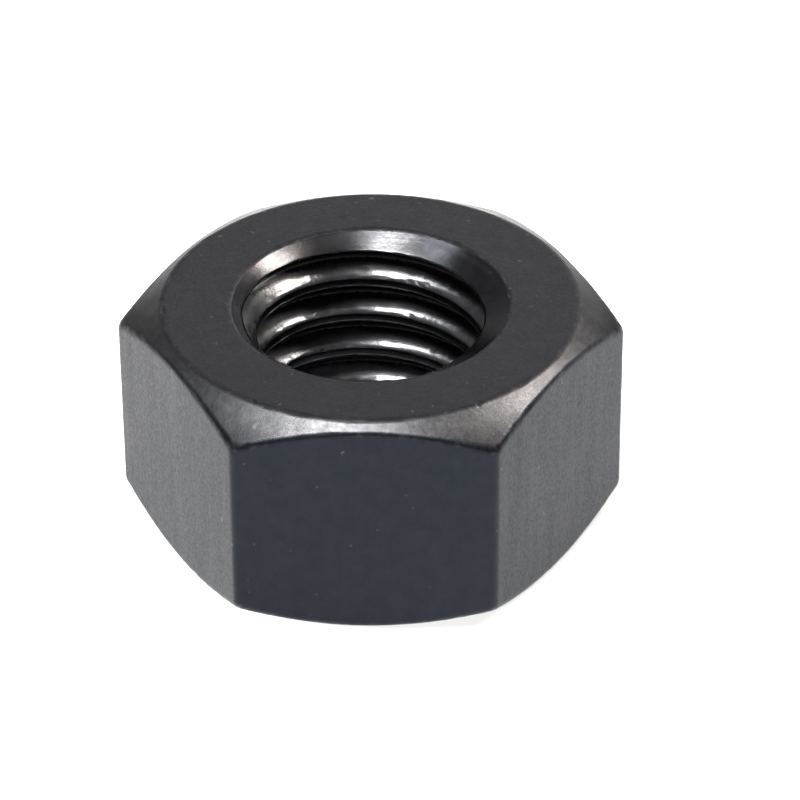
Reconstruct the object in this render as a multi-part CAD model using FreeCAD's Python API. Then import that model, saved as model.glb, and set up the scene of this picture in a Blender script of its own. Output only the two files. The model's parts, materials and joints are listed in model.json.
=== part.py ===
import FreeCAD, Part
import math
import os

# Hex nut, M8 x 1.25, high pattern (style 2), right-hand thread.
# The nut is one solid piece. Millimetres. The origin is the centre of the lower
# bearing face, +Z runs up the thread axis, and one hexagon flat faces -Y.

# Driving dimensions
THREAD_DIAMETER = 8.0
THREAD_PITCH = 1.25
MINOR_DIAMETER = 6.7        # across the crests, inside the 6H limits of this thread (6.647 to 6.912)
ACROSS_FLATS = 13.0
HEIGHT = 7.2
BEARING_DIAMETER = 12.25    # flat ring left on each end face inside the corner chamfer
CHAMFER_ANGLE = 30.0        # slope of the corner chamfer below the end face, degrees
COUNTERSINK_DIAMETER = 8.3
COUNTERSINK_ANGLE = 120.0   # included angle of the cone at each mouth of the thread, degrees
THREAD_START = 1.08         # height of the groove centre where it first crosses the +X side

# ISO 68-1 thread profile: flanks at 60 degrees to each other and a root flat of P/8
FLANK_SLOPE = math.tan(math.radians(30))
ROOT_HALF_WIDTH = THREAD_PITCH / 16
MAJOR_RADIUS = THREAD_DIAMETER / 2
MINOR_RADIUS = MINOR_DIAMETER / 2

CORNER_RADIUS = ACROSS_FLATS / math.sqrt(3)
SIDES = 6
OVERLAP = 0.15              # how far each cutter runs past the surface that it cuts
UP = FreeCAD.Vector(0, 0, 1)
ORIGIN = FreeCAD.Vector(0, 0, 0)


def polar(radius, degrees, height):
    """The point at a radius and an angle about the thread axis."""
    turn = math.radians(degrees)
    return FreeCAD.Vector(radius * math.cos(turn), radius * math.sin(turn), height)


def revolved(profile, spline_slopes=False):
    """A solid of revolution about the thread axis, from (radius, height) corners.

    With spline_slopes its cones are swept from straight splines instead of lines. A flat then cuts
    them along a spline and not along a hyperbola, which overflows when distances to it are measured.
    """
    corners = [FreeCAD.Vector(radius, 0, height) for radius, height in profile]
    edges = []
    for start, end in zip(corners, corners[1:] + corners[:1]):
        line = Part.LineSegment(start, end)
        slopes = start.x != end.x and start.z != end.z
        edges.append((line.toBSpline() if spline_slopes and slopes else line).toShape())
    face = Part.Face(Part.Wire(edges))
    return face.revolve(ORIGIN, UP, 360)


def hexagon_wire(height):
    """The outline across the flats, with its first flat facing -Y."""
    corners = [polar(CORNER_RADIUS, 360 / SIDES * corner, height) for corner in range(SIDES)]
    return Part.makePolygon(corners + corners[:1])


def bore_wire(height):
    """The minor circle as four arcs, so that the bore is four quarter faces."""
    arcs = []
    for quarter in range(4):
        start, middle, end = (polar(MINOR_RADIUS, 90 * quarter + step, height) for step in (0, 45, 90))
        arcs.append(Part.Arc(start, middle, end).toShape())
    return Part.Wire(arcs)


def bored_prism():
    """The hexagon bar with its bore, standing past both end faces."""
    outline = Part.makeFace([hexagon_wire(-OVERLAP), bore_wire(-OVERLAP)], "Part::FaceMakerBullseye")
    return outline.extrude(UP * (HEIGHT + 2 * OVERLAP))


def turned_envelope():
    """The shape that facing and chamfering leave: flat ends and a cone over the corners."""
    reach = CORNER_RADIUS + OVERLAP
    drop = (reach - BEARING_DIAMETER / 2) * math.tan(math.radians(CHAMFER_ANGLE))
    return revolved([
        (0, 0),
        (BEARING_DIAMETER / 2, 0),
        (reach, drop),
        (reach, HEIGHT - drop),
        (BEARING_DIAMETER / 2, HEIGHT),
        (0, HEIGHT),
    ], spline_slopes=True)


def countersink(face_height, outward):
    """The cone cut at one mouth; outward is 1 at the upper face and -1 at the lower one."""
    steepness = 1 / math.tan(math.radians(COUNTERSINK_ANGLE / 2))
    mouth_radius = COUNTERSINK_DIAMETER / 2
    return revolved([
        (0, face_height - outward * mouth_radius * steepness),
        (mouth_radius + OVERLAP, face_height + outward * OVERLAP * steepness),
        (0, face_height + outward * OVERLAP * steepness),
    ])


def groove_turn(start):
    """One turn of the helical groove, beginning on the +X side at a height."""
    inner_radius = MINOR_RADIUS - OVERLAP
    mouth_half_width = ROOT_HALF_WIDTH + (MAJOR_RADIUS - inner_radius) * FLANK_SLOPE
    corners = [
        FreeCAD.Vector(inner_radius, 0, start - mouth_half_width),
        FreeCAD.Vector(MAJOR_RADIUS, 0, start - ROOT_HALF_WIDTH),
        FreeCAD.Vector(MAJOR_RADIUS, 0, start + ROOT_HALF_WIDTH),
        FreeCAD.Vector(inner_radius, 0, start + mouth_half_width),
    ]
    helix = Part.makeHelix(THREAD_PITCH, THREAD_PITCH, MAJOR_RADIUS)
    helix.translate(UP * start)
    sweep = Part.BRepOffsetAPI.MakePipeShell(Part.Wire(helix.Edges))
    sweep.setFrenetMode(True)
    sweep.add(Part.makePolygon(corners + corners[:1]))
    sweep.build()
    sweep.makeSolid()
    return sweep.shape()


def thread_groove():
    """The groove between the crests: single turns stacked until it runs out of both faces."""
    turns_below = 2
    turns_above = math.ceil(HEIGHT / THREAD_PITCH) + 1
    starts = [THREAD_START + THREAD_PITCH * index for index in range(-turns_below, turns_above)]
    turns = [groove_turn(start) for start in starts]
    return turns[0].multiFuse(turns[1:])


def nut_body():
    """The whole nut: chamfered hexagon, bore, countersinks and thread."""
    blank = bored_prism().common(turned_envelope())
    blank = blank.cut(countersink(HEIGHT, 1)).cut(countersink(0, -1))
    threaded = blank.cut(thread_groove())
    return threaded.Solids[0]


os.makedirs("parts", exist_ok=True)
nut_body().exportStep("parts/nut_body.step")
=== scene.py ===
import json
import math

import bmesh
import bpy
import numpy as np
from mathutils import Matrix, Vector, noise


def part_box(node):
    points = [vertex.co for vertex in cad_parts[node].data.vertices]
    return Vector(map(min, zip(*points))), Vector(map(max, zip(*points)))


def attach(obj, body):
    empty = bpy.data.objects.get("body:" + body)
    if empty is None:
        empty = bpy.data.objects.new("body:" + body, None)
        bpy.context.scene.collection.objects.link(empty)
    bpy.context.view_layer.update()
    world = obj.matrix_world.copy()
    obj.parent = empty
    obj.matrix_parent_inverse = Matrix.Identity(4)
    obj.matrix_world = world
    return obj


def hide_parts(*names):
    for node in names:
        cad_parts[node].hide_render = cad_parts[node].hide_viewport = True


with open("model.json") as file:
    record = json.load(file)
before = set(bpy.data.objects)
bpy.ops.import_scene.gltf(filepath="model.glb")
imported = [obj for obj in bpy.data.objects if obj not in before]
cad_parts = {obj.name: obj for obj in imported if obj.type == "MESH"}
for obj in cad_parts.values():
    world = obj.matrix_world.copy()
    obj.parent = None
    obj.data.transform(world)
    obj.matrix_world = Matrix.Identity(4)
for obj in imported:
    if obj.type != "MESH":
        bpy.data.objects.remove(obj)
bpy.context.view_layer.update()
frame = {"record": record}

# ---------------------------------------------------------------------------------------------
# Sizes, in metres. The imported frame's box and thread mount give the first group.
# ---------------------------------------------------------------------------------------------

MM = 0.001
low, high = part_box("nut_body")
thread = next(mount["dims"] for mount in frame["record"]["mounts"] if mount["name"] == "thread")

CENTRE = (low + high) / 2
HEIGHT = high.z - low.z
ACROSS_FLATS = high.y - low.y
MINOR_RADIUS = thread["r_mm"] * MM
COUNTERSINK_DEPTH = (HEIGHT - thread["length_mm"] * MM) / 2

# The rest of the nut's own sizes, as its CAD source has them
PITCH = 1.25 * MM
MAJOR_RADIUS = 4.0 * MM
THREAD_START = 1.08 * MM        # height of the groove centre where it first crosses the +X side
BEARING_RADIUS = 6.125 * MM     # outer edge of the flat ring on each end face
SLOPE = math.tan(math.radians(30))  # height per radius, on chamfers, countersinks and thread flanks
COUNTERSINK_RADIUS = MINOR_RADIUS + COUNTERSINK_DEPTH / SLOPE
THREAD_DEPTH = MAJOR_RADIUS - MINOR_RADIUS
ROOT_HALF_WIDTH = PITCH / 16
HALF_MOUTH = ROOT_HALF_WIDTH + THREAD_DEPTH * SLOPE  # of the groove, where it meets the crests

# The outline's soft edges: how far each one reaches from the sharp corner, along both sides
MOUTH_EDGE = 0.09 * MM          # between a countersink and an end face
FACE_EDGE = 0.12 * MM           # between an end face and a corner chamfer
WALL_EDGE = 0.08 * MM           # between a corner chamfer and a flat, besides its growth
WALL_EDGE_GROWTH = 0.1          # what that edge gains for each unit of the chamfer's width
CORNER_ROUND = 0.34 * MM        # the radius of the six upright edges

# The thread's soft edges: half the width of each knee
CREST_KNEE = 0.11 * MM
ROOT_KNEE = 0.10 * MM
LIP_KNEE = 0.04 * MM            # between the thread and a countersink
THREAD_WEAR_REACH = 0.09 * MM   # how far from a groove's mouth its rubbed edge fades out

# The thread and the countersinks are meshed apart. They meet at this ring inside each countersink.
RING_RADIUS = MAJOR_RADIUS + 0.02 * MM
RING_DEPTH = (COUNTERSINK_RADIUS - RING_RADIUS) * SLOPE

SIDES = 6
SIXTH_TURN = 2 * math.pi / SIDES
COLUMNS_PER_SIDE = 52
COLUMNS = SIDES * COLUMNS_PER_SIDE
CORNER_CROWDING = 0.85          # how strongly the mesh columns gather at the six corners
EDGE_STEPS = 5                  # mesh rows round each soft edge of the outline
MERGE_DISTANCE = 1e-8           # closer vertices than this become one

# Each surface's finish is its amount of every layer but the first, wear, which depends on how
# near an edge is. bright lightens the oxide, smooth lowers the roughness, turned swaps the streaks
# and the blue tint of the flats for rings about the axis and grey, and dented adds dents.
FINISH_LAYERS = ["wear", "bright", "smooth", "turned", "dented"]
FLAT = (0, 0, 0, 0)
FACE = (0, 0, 1, 0)
CHAMFER = (0.28, 0.28, 1, 0.25)
COUNTERSINK = (0.18, 1, 1, 0)
FLANK = (0.55, 0.9, 1, 1)
CREST = (0, 0.4, 1, 1)


# ---------------------------------------------------------------------------------------------
# The outside of the nut
# ---------------------------------------------------------------------------------------------

def column_angles():
    """One angle for each mesh column, crowded at the six corners of the hexagon."""
    step = np.arange(COLUMNS) * SIDES / COLUMNS
    crowded = step - CORNER_CROWDING * np.sin(2 * math.pi * step) / (2 * math.pi)
    return crowded * SIXTH_TURN


def hexagon_radius(angles):
    """Distance from the axis to the hexagon, whose corners are rounded, at each angle."""
    half_side = SIXTH_TURN / 2
    from_corner = np.abs((angles + half_side) % SIXTH_TURN - half_side)
    centre = (ACROSS_FLATS / 2 - CORNER_ROUND) / math.cos(half_side)
    arc_end = math.atan2(CORNER_ROUND * math.sin(half_side), centre + CORNER_ROUND * math.cos(half_side))
    under_root = np.maximum(CORNER_ROUND**2 - (centre * np.sin(from_corner)) ** 2, 0)
    on_arc = centre * np.cos(from_corner) + np.sqrt(under_root)
    on_flat = ACROSS_FLATS / 2 / np.cos(half_side - from_corner)
    return np.where(from_corner < arc_end, on_arc, on_flat)


def outline_corners(wall):
    """The section's sharp corners from the upper countersink round the outside to the lower one.

    Each is a radius, a height and the size of its soft edge, in every column. wall is the
    hexagon's radius in each column.
    """
    chamfer_width = wall - BEARING_RADIUS
    lower = [
        (RING_RADIUS, RING_DEPTH, 0),
        (COUNTERSINK_RADIUS, 0, MOUTH_EDGE),
        (BEARING_RADIUS, 0, FACE_EDGE),
        (wall, chamfer_width * SLOPE, WALL_EDGE + WALL_EDGE_GROWTH * chamfer_width),
    ]
    upper = [(radius, HEIGHT - depth, edge) for radius, depth, edge in lower]
    return [np.broadcast_arrays(wall, *corner)[1:] for corner in upper + lower[::-1]]


def faded(first, second, share):
    """Goes from the first amount to the second, with the greater one fading out fast from its end."""
    eased = share**3 if second > first else 1 - (1 - share) ** 3
    return first + (second - first) * eased


def soft_edge(start, corner, end, first_finish, second_finish):
    """Rows of points that curve past a sharp corner, after the start, and the finish of each row."""
    rows = []
    finish = []
    for step in range(1, EDGE_STEPS + 1):
        share = step / EDGE_STEPS
        rows.append((1 - share) ** 2 * start + 2 * share * (1 - share) * corner + share**2 * end)
        blend = [faded(first, second, share) for first, second in zip(first_finish, second_finish)]
        finish.append((math.sin(math.pi * share), *blend))
    return rows, finish


def straight_run(start, end, steps, surface):
    """Rows of points after the start, close together at both ends, and the finish of each row."""
    shares = [(1 - math.cos(math.pi * step / steps)) / 2 for step in range(1, steps + 1)]
    return [start + (end - start) * share for share in shares], [(0, *surface)] * steps


def outline_section(wall):
    """Rows of points along the outside of the section: straight runs joined by soft edges.

    Returns the radius, height and finish of each point, in arrays of rows and columns.
    """
    upper_runs = [(5, COUNTERSINK), (12, FACE), (9, CHAMFER)]   # mesh rows of each, and its finish
    runs = upper_runs + [(16, FLAT)] + upper_runs[::-1]
    corners = outline_corners(wall)
    points = [np.stack([radius, height], axis=-1) for radius, height, edge in corners]
    edges = [edge[:, None] for radius, height, edge in corners]
    rows = [points[0]]
    finish = [(0, *COUNTERSINK)]
    for index, (steps, surface) in enumerate(runs):
        start, end = points[index], points[index + 1]
        along = (end - start) / np.linalg.norm(end - start, axis=-1, keepdims=True)
        run_start = start + along * edges[index]
        run_end = end - along * edges[index + 1]
        if index > 0:
            surface_before = runs[index - 1][1]
            edge_rows, edge_finish = soft_edge(rows[-1], start, run_start, surface_before, surface)
            rows += edge_rows
            finish += edge_finish
        run_rows, run_finish = straight_run(run_start, run_end, steps, surface)
        rows += run_rows
        finish += run_finish
    section = np.array(rows)
    finish = np.repeat(np.array(finish)[:, None], COLUMNS, axis=1)
    return section[..., 0], section[..., 1], finish


# ---------------------------------------------------------------------------------------------
# The thread
# ---------------------------------------------------------------------------------------------

def soft_ramp(distance, width):
    """0 below zero and the distance above it, with a rounded knee of the given half width."""
    knee = (distance + width) ** 2 / (4 * width)
    return np.where(distance < -width, 0, np.where(distance > width, distance, knee))


def groove_depth(offset):
    """How far the thread's surface lies outside the crests, at a height off the groove's centre."""
    rise = soft_ramp(HALF_MOUTH - np.abs(offset), CREST_KNEE) / SLOPE
    return THREAD_DEPTH - soft_ramp(THREAD_DEPTH - rise, ROOT_KNEE)


def groove_offsets():
    """Row heights over one pitch about the groove's centre, close together where it bends."""
    root_end = 1.6 * ROOT_HALF_WIDTH
    flank_end = HALF_MOUTH - 0.10 * MM
    crest_start = HALF_MOUTH - 0.07 * MM
    crest_end = HALF_MOUTH + 0.10 * MM
    root = np.linspace(-root_end, root_end, 5)
    flank = np.linspace(root_end, flank_end, 6)[1:]
    crest = np.linspace(crest_start, crest_end, 7)
    upper = np.concatenate([flank, crest, [PITCH / 2]])
    return np.concatenate([-upper[:-1][::-1], root, upper])


def groove_finish(offsets):
    """The finish at each height off the groove's centre: flanks, crests and their rubbed edges."""
    flank_finish_end = HALF_MOUTH + 0.05 * MM
    from_centre = np.abs(offsets)
    wear = np.clip(1 - np.abs(from_centre - HALF_MOUTH) / THREAD_WEAR_REACH, 0, 1)
    on_flank = (from_centre > ROOT_HALF_WIDTH) & (from_centre < flank_finish_end)
    return [(worn, *(FLANK if flank else CREST)) for worn, flank in zip(wear, on_flank)]


def thread_section(angles):
    """The threaded wall, in rows that climb along the helix.

    The rows of one pitch, shifted up by it, are the next turn's, so the rows close on themselves.
    Heights stop at the ring where each countersink's own mesh begins. Returns the radius, height
    and finish of each point, as outline_section does.
    """
    offsets = groove_offsets()
    turns_below = 2
    turns = np.arange(-turns_below, math.ceil(HEIGHT / PITCH) + 1)
    rows = (THREAD_START + PITCH * turns[:, None] + offsets).reshape(-1, 1)
    height = np.clip(rows + PITCH * angles / (2 * math.pi), RING_DEPTH, HEIGHT - RING_DEPTH)
    depth = np.tile(groove_depth(offsets), len(turns)).reshape(-1, 1)
    cone_depth = COUNTERSINK_RADIUS - MINOR_RADIUS - np.minimum(height, HEIGHT - height) / SLOPE
    radius = MINOR_RADIUS + depth + soft_ramp(cone_depth - depth, LIP_KNEE)
    at_ring = (height <= RING_DEPTH) | (height >= HEIGHT - RING_DEPTH)
    radius = np.where(at_ring, RING_RADIUS, radius)

    finish = np.array(groove_finish(offsets) * len(turns))[:, None]
    finish = np.where((cone_depth > depth)[..., None], (0, *COUNTERSINK), finish)
    return radius, height, finish


# ---------------------------------------------------------------------------------------------
# The nut's mesh
# ---------------------------------------------------------------------------------------------

def ring_vertices(mesh, angles, radius, height, finish):
    """Adds rows of vertices to the mesh, with their finish, and returns them as a list of rows."""
    layers = [mesh.verts.layers.float[name] for name in FINISH_LAYERS]
    places = np.stack([radius * np.cos(angles), radius * np.sin(angles), height], axis=-1)
    grid = [[mesh.verts.new(place) for place in row] for row in places]
    for row, row_finish in zip(grid, finish.tolist()):
        for vert, amounts in zip(row, row_finish):
            for layer, amount in zip(layers, amounts):
                vert[layer] = amount
    return grid


def skin(mesh, grid, rows_per_turn=0):
    """Joins neighbouring rows and columns with quads, closing round the axis.

    The last column meets the first one rows_per_turn rows further up, as on a helix. Where that
    is past the last row, the quads shrink to triangles.
    """
    last_row = len(grid) - 1
    for row in range(last_row):
        for column in range(COLUMNS):
            if column + 1 < COLUMNS:
                next_low, next_high = grid[row][column + 1], grid[row + 1][column + 1]
            else:
                next_low = grid[min(row + rows_per_turn, last_row)][0]
                next_high = grid[min(row + 1 + rows_per_turn, last_row)][0]
            loop = [grid[row][column], next_low, next_high, grid[row + 1][column]]
            mesh.faces.new([vert for index, vert in enumerate(loop) if vert not in loop[:index]])


def roughen(mesh):
    """Shallow waves all over, dents in the dented finishes and nicks in the edges, all inward."""
    wave_scale, dent_scale, nick_scale = 1.3, 5, 7  # waves per millimetre
    wave_depth, dent_depth, nick_depth = 0.006, 0.012, 0.05  # millimetres
    nick_threshold = 0.1
    wear = mesh.verts.layers.float["wear"]
    dented = mesh.verts.layers.float["dented"]
    mesh.normal_update()
    for vert in mesh.verts:
        spot = vert.co / MM
        waves = (1 + noise.noise(spot * wave_scale)) / 2
        dents = max(noise.noise(spot * dent_scale), 0)
        nicks = max(noise.noise(spot * nick_scale) - nick_threshold, 0)
        depth = wave_depth * waves + dent_depth * vert[dented] * dents + nick_depth * vert[wear] * nicks
        vert.co -= vert.normal * depth * MM


def build_nut():
    """The whole nut as one closed mesh."""
    angles = column_angles()
    mesh = bmesh.new()
    for name in FINISH_LAYERS:
        mesh.verts.layers.float.new(name)
    skin(mesh, ring_vertices(mesh, angles, *outline_section(hexagon_radius(angles))))
    skin(mesh, ring_vertices(mesh, angles, *thread_section(angles)), len(groove_offsets()))
    bmesh.ops.remove_doubles(mesh, verts=mesh.verts, dist=MERGE_DISTANCE)
    bmesh.ops.recalc_face_normals(mesh, faces=mesh.faces)
    roughen(mesh)
    data = bpy.data.meshes.new("hex_nut")
    mesh.to_mesh(data)
    mesh.free()
    data.shade_smooth()
    piece = bpy.data.objects.new("hex_nut", data)
    bpy.context.scene.collection.objects.link(piece)
    return piece


# ---------------------------------------------------------------------------------------------
# Material
# ---------------------------------------------------------------------------------------------

OXIDE_BLUE = (0.0125, 0.0148, 0.0198, 1)    # on the flats
OXIDE_GREY = (0.0155, 0.0150, 0.0170, 1)    # on turned surfaces
OXIDE_PALE = (0.020, 0.0205, 0.0235, 1)     # in cloudy areas
OXIDE_BRIGHT = (0.20, 0.20, 0.205, 1)       # where the finish is bright
BARE_STEEL = (0.28, 0.28, 0.28, 1)          # in specks and on rubbed edges


def add(tree, kind, inputs=None, **settings):
    """Adds a shader node and gives its inputs, by name or number, a value or another node's output."""
    node = tree.nodes.new("ShaderNode" + kind)
    for name, value in settings.items():
        setattr(node, name, value)
    for name, value in (inputs or {}).items():
        if isinstance(value, bpy.types.NodeSocket):
            tree.links.new(value, node.inputs[name])
        else:
            node.inputs[name].default_value = value
    return node


def arithmetic(tree, operation, *terms):
    """The result of one Math node."""
    return add(tree, "Math", dict(enumerate(terms)), operation=operation).outputs[0]


def product(tree, first, *others):
    """All the values multiplied together."""
    for other in others:
        first = arithmetic(tree, "MULTIPLY", first, other)
    return first


def weighted(tree, *terms):
    """The sum of (value, weight) pairs."""
    total = 0.0
    for value, weight in terms:
        total = arithmetic(tree, "MULTIPLY_ADD", value, weight, total)
    return total


def stretched(tree, place, scale):
    """A place scaled along each axis."""
    return add(tree, "VectorMath", {0: place, 1: scale}, operation="MULTIPLY").outputs[0]


def grain(tree, place, scale, detail=2.0, roughness=0.5):
    """Noise between 0 and 1. For a place in millimetres, scale is in waves per millimetre."""
    inputs = {"Vector": place, "Scale": scale, "Detail": detail, "Roughness": roughness}
    return add(tree, "TexNoise", inputs).outputs["Fac"]


def between(tree, value, start, end, to_start=0.0, to_end=1.0):
    """Maps start..end of a value to another span, clamped and with soft ends."""
    inputs = {0: value, "From Min": start, "From Max": end, "To Min": to_start, "To Max": to_end}
    return add(tree, "MapRange", inputs, interpolation_type="SMOOTHSTEP").outputs[0]


def finish_layer(tree, name):
    """The mesh's amount of one finish layer."""
    return add(tree, "Attribute", attribute_name=name, attribute_type="GEOMETRY").outputs["Fac"]


def mixed(tree, share, first, second):
    """A number that goes from the first to the second as the share goes from 0 to 1."""
    return add(tree, "Mix", {0: share, 2: first, 3: second}, data_type="FLOAT").outputs[0]


def mixed_colour(tree, share, first, second):
    """A colour that goes from the first to the second as the share goes from 0 to 1."""
    return add(tree, "Mix", {0: share, 6: first, 7: second}, data_type="RGBA").outputs[2]


def axis_radius(tree, place):
    """Distance from the thread's axis."""
    x, y, _ = add(tree, "SeparateXYZ", {0: place}).outputs
    squares = [arithmetic(tree, "MULTIPLY", along, along) for along in (x, y)]
    return arithmetic(tree, "SQRT", arithmetic(tree, "ADD", *squares))


def turned_rings(tree, place, radius):
    """Noise that changes fast across the rings a lathe leaves and slowly round the axis."""
    rings_per_mm = 5.0
    x, y, z = add(tree, "SeparateXYZ", {0: place}).outputs
    across = arithmetic(tree, "ADD", radius, z)
    ring_place = add(tree, "CombineXYZ", {
        0: arithmetic(tree, "DIVIDE", x, radius),
        1: arithmetic(tree, "DIVIDE", y, radius),
        2: arithmetic(tree, "MULTIPLY", across, rings_per_mm),
    })
    return grain(tree, ring_place.outputs[0], 1.0)


def oxide_colour(tree, blotches, streaks):
    """Blue-black on the flats and grey-black where turned, paler in clouds."""
    uneven = weighted(tree, (blotches, 0.6), (streaks, 0.4))
    cloudy = between(tree, uneven, 0.3, 0.7, to_end=0.5)
    dark = mixed_colour(tree, finish_layer(tree, "turned"), OXIDE_BLUE, OXIDE_GREY)
    return mixed_colour(tree, cloudy, dark, OXIDE_PALE)


def brightness(tree, place, radius):
    """How much of the bright oxide shows: in patches, and less toward the tips of the corners."""
    fading_start, fading_end = 6.4, 7.3  # millimetres from the axis
    coarse = grain(tree, place, 2.6, detail=4.0, roughness=0.65)
    patches = between(tree, coarse, 0.35, 0.65, to_start=0.8, to_end=1.15)
    toward_tips = between(tree, radius, fading_start, fading_end, to_start=1.0, to_end=0.2)
    return product(tree, finish_layer(tree, "bright"), patches, toward_tips)


def bareness(tree, place):
    """How much bare steel shows: in scattered specks, and where edges are rubbed."""
    speck_strength, rub_strength = 0.15, 0.06
    specks = between(tree, grain(tree, place, 4.0, detail=0.0), 0.78, 0.90)
    rubbed = between(tree, grain(tree, place, 3.2), 0.50, 0.72)
    on_edges = product(tree, finish_layer(tree, "wear"), rubbed, rub_strength)
    return arithmetic(tree, "MAXIMUM", on_edges, product(tree, specks, speck_strength))


def blackened_steel():
    """Black oxide over machined steel: turned rings, sawn streaks, fine grain and rubbed edges."""
    streak_length = 10  # times as long as they are wide
    material = bpy.data.materials.new("blackened_steel")
    material.use_nodes = True
    tree = material.node_tree
    shader = tree.nodes["Principled BSDF"]
    shader.inputs["Metallic"].default_value = 1

    place = stretched(tree, add(tree, "TexCoord").outputs["Object"], (1 / MM, 1 / MM, 1 / MM))
    radius = axis_radius(tree, place)
    streak_place = stretched(tree, place, (1, 1, 1 / streak_length))
    streaks = grain(tree, streak_place, 2.2, detail=4.0, roughness=0.6)
    rings = turned_rings(tree, place, radius)
    marks = mixed(tree, finish_layer(tree, "turned"), streaks, rings)
    fine = grain(tree, place, 11.0, detail=2.0, roughness=0.7)
    blotches = grain(tree, place, 1.7, detail=3.0, roughness=0.55)
    smooth = finish_layer(tree, "smooth")

    oxide = oxide_colour(tree, blotches, streaks)
    coat = mixed_colour(tree, brightness(tree, place, radius), oxide, OXIDE_BRIGHT)
    colour = mixed_colour(tree, bareness(tree, place), coat, BARE_STEEL)
    tree.links.new(colour, shader.inputs["Base Color"])

    grainy = weighted(tree, (fine, 0.7), (streaks, 0.3))
    matt = between(tree, grainy, 0.3, 0.7, to_start=0.36, to_end=0.52)
    shiny = between(tree, marks, 0.25, 0.75, to_start=0.18, to_end=0.25)
    tree.links.new(mixed(tree, smooth, matt, shiny), shader.inputs["Roughness"])

    pitting = between(tree, smooth, 0, 1, to_start=0.8, to_end=0.35)
    relief = weighted(tree, (marks, 0.35), (fine, pitting), (blotches, 0.8))
    bump = add(tree, "Bump", {"Height": relief, "Strength": 0.5, "Distance": 0.01 * MM})
    tree.links.new(bump.outputs[0], shader.inputs["Normal"])
    return material


nut = build_nut()
nut.data.materials.append(blackened_steel())
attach(nut, "root")
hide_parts("nut_body")

# ---------------------------------------------------------------------------------------------
# Floor, lights and camera
# ---------------------------------------------------------------------------------------------

FLOOR_HALF_SIZE = 25 * ACROSS_FLATS
FLOOR_GREY = (0.56, 0.56, 0.56, 1)
FLOOR_ROUGHNESS = 0.9
LIGHT_DISTANCE = 40 * ACROSS_FLATS
SURROUND_COLOUR = (0.8, 0.8, 0.82, 1)
SURROUND_STRENGTH = 0.36        # as it lights the nut and the floor
BACKDROP_STRENGTH = 1.3         # as the camera sees it, which is white

# The view of the photo. The azimuth is from straight in front of the flat that faces -Y.
CAMERA_AZIMUTH = math.radians(1.512)
CAMERA_ELEVATION = math.radians(34.112)
CAMERA_ROLL = math.radians(-0.324)
CAMERA_DISTANCE = 9.686 * ACROSS_FLATS
CAMERA_TO_RIGHT = 0.0658 * ACROSS_FLATS     # how far the line of sight passes beside the centre
CAMERA_UP = 0.0090 * ACROSS_FLATS
SENSOR_WIDTH = 36               # millimetres, as is the focal length
FOCAL_LENGTH = 189.88
NEAREST_SEEN = 1 * MM


def lie_floor():
    """A plain pale floor at the height of the nut's lower face."""
    corners = [(-1, -1), (1, -1), (1, 1), (-1, 1)]
    places = [(x * FLOOR_HALF_SIZE, y * FLOOR_HALF_SIZE, low.z) for x, y in corners]
    data = bpy.data.meshes.new("floor")
    data.from_pydata(places, [], [(0, 1, 2, 3)])
    floor = bpy.data.objects.new("floor", data)
    bpy.context.scene.collection.objects.link(floor)
    paint = bpy.data.materials.new("floor_paint")
    paint.use_nodes = True
    finish = paint.node_tree.nodes["Principled BSDF"].inputs
    finish["Base Color"].default_value = FLOOR_GREY
    finish["Roughness"].default_value = FLOOR_ROUGHNESS
    data.materials.append(paint)


def soft_light(name, toward, spread, radiance, colour=(1, 1, 1), mirrored=True):
    """A rectangular light far from the nut, which it faces.

    toward is its direction from the nut. spread is how wide it looks from there, in radians: first
    along the side that is square to the Y axis, then along the other one. A light that is not
    mirrored lights the floor but leaves no highlight on the steel.
    """
    light = bpy.data.lights.new(name, "AREA")
    light.shape = "RECTANGLE"
    light.size, light.size_y = (angle * LIGHT_DISTANCE for angle in spread)
    light.energy = math.pi * radiance * light.size * light.size_y
    light.color = colour
    lamp = bpy.data.objects.new(name, light)
    lamp.visible_glossy = mirrored
    back = Vector(toward).normalized()
    across = Vector((0, 1, 0)).cross(back).normalized()
    turn = Matrix((across, back.cross(across), back)).transposed().to_4x4()
    lamp.matrix_world = Matrix.Translation(CENTRE + back * LIGHT_DISTANCE) @ turn
    bpy.context.scene.collection.objects.link(lamp)


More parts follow.
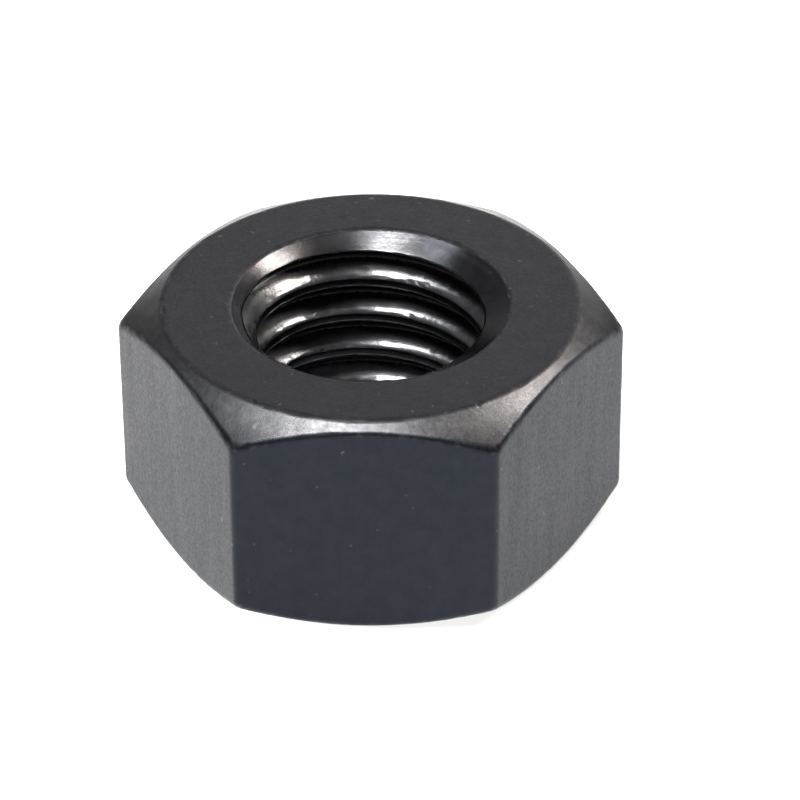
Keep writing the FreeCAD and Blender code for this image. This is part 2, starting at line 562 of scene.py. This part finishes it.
def place_camera():
    """The camera at the photo's viewing angle."""
    level_back = Vector((math.sin(CAMERA_AZIMUTH), -math.cos(CAMERA_AZIMUTH), 0))
    level_right = Vector((math.cos(CAMERA_AZIMUTH), math.sin(CAMERA_AZIMUTH), 0))
    back = level_back * math.cos(CAMERA_ELEVATION) + Vector((0, 0, math.sin(CAMERA_ELEVATION)))
    upright = back.cross(level_right)
    right = level_right * math.cos(CAMERA_ROLL) + upright * math.sin(CAMERA_ROLL)
    up = upright * math.cos(CAMERA_ROLL) - level_right * math.sin(CAMERA_ROLL)
    data = bpy.data.cameras.new("camera")
    data.sensor_width = SENSOR_WIDTH
    data.lens = FOCAL_LENGTH
    data.clip_start = NEAREST_SEEN
    camera = bpy.data.objects.new("camera", data)
    place = CENTRE + back * CAMERA_DISTANCE + right * CAMERA_TO_RIGHT + up * CAMERA_UP
    axes = Matrix((right, up, back)).transposed().to_4x4()
    camera.matrix_world = Matrix.Translation(place) @ axes
    bpy.context.scene.collection.objects.link(camera)
    bpy.context.scene.camera = camera


def light_surround():
    """An even pale surround that is dim as a light, but white where the camera looks past the floor."""
    world = bpy.data.worlds.new("studio")
    world.use_nodes = True
    tree = world.node_tree
    background = tree.nodes["Background"]
    background.inputs["Color"].default_value = SURROUND_COLOUR
    seen = add(tree, "LightPath").outputs["Is Camera Ray"]
    strength = between(tree, seen, 0, 1, to_start=SURROUND_STRENGTH, to_end=BACKDROP_STRENGTH)
    tree.links.new(strength, background.inputs["Strength"])
    bpy.context.scene.world = world


lie_floor()

# The lights that the steel mirrors
soft_light("overhead", (-0.17, -0.12, 0.98), spread=(0.36, 0.18), radiance=44)
soft_light("front_top", (-0.12, -0.36, 0.93), spread=(0.22, 0.30), radiance=42)
soft_light("right_back", (0.53, 0.33, 0.78), spread=(0.15, 0.30), radiance=38, colour=(1, 0.92, 0.83))
soft_light("right_top", (0.74, 0.18, 0.64), spread=(0.24, 0.24), radiance=36, colour=(1, 0.98, 0.95))
soft_light("left", (-0.42, 0.10, 0.90), spread=(0.17, 0.30), radiance=7, colour=(0.88, 0.94, 1))
soft_light("back_wall", (0.05, 0.83, 0.56), spread=(0.8, 0.45), radiance=2.4)

# The lights for the floor, whose reflection brightens the side flats
soft_light("front_left", (-0.36, -0.88, 0.25), spread=(0.5, 0.4), radiance=66, mirrored=False)
soft_light("front_right", (0.36, -0.88, 0.25), spread=(0.5, 0.4), radiance=29,
           colour=(1, 0.99, 0.96), mirrored=False)
soft_light("far_left", (-0.90, -0.15, 0.36), spread=(0.4, 0.3), radiance=75,
           colour=(1, 0.98, 0.93), mirrored=False)

light_surround()
place_camera()
bpy.context.scene.view_settings.view_transform = "Standard"
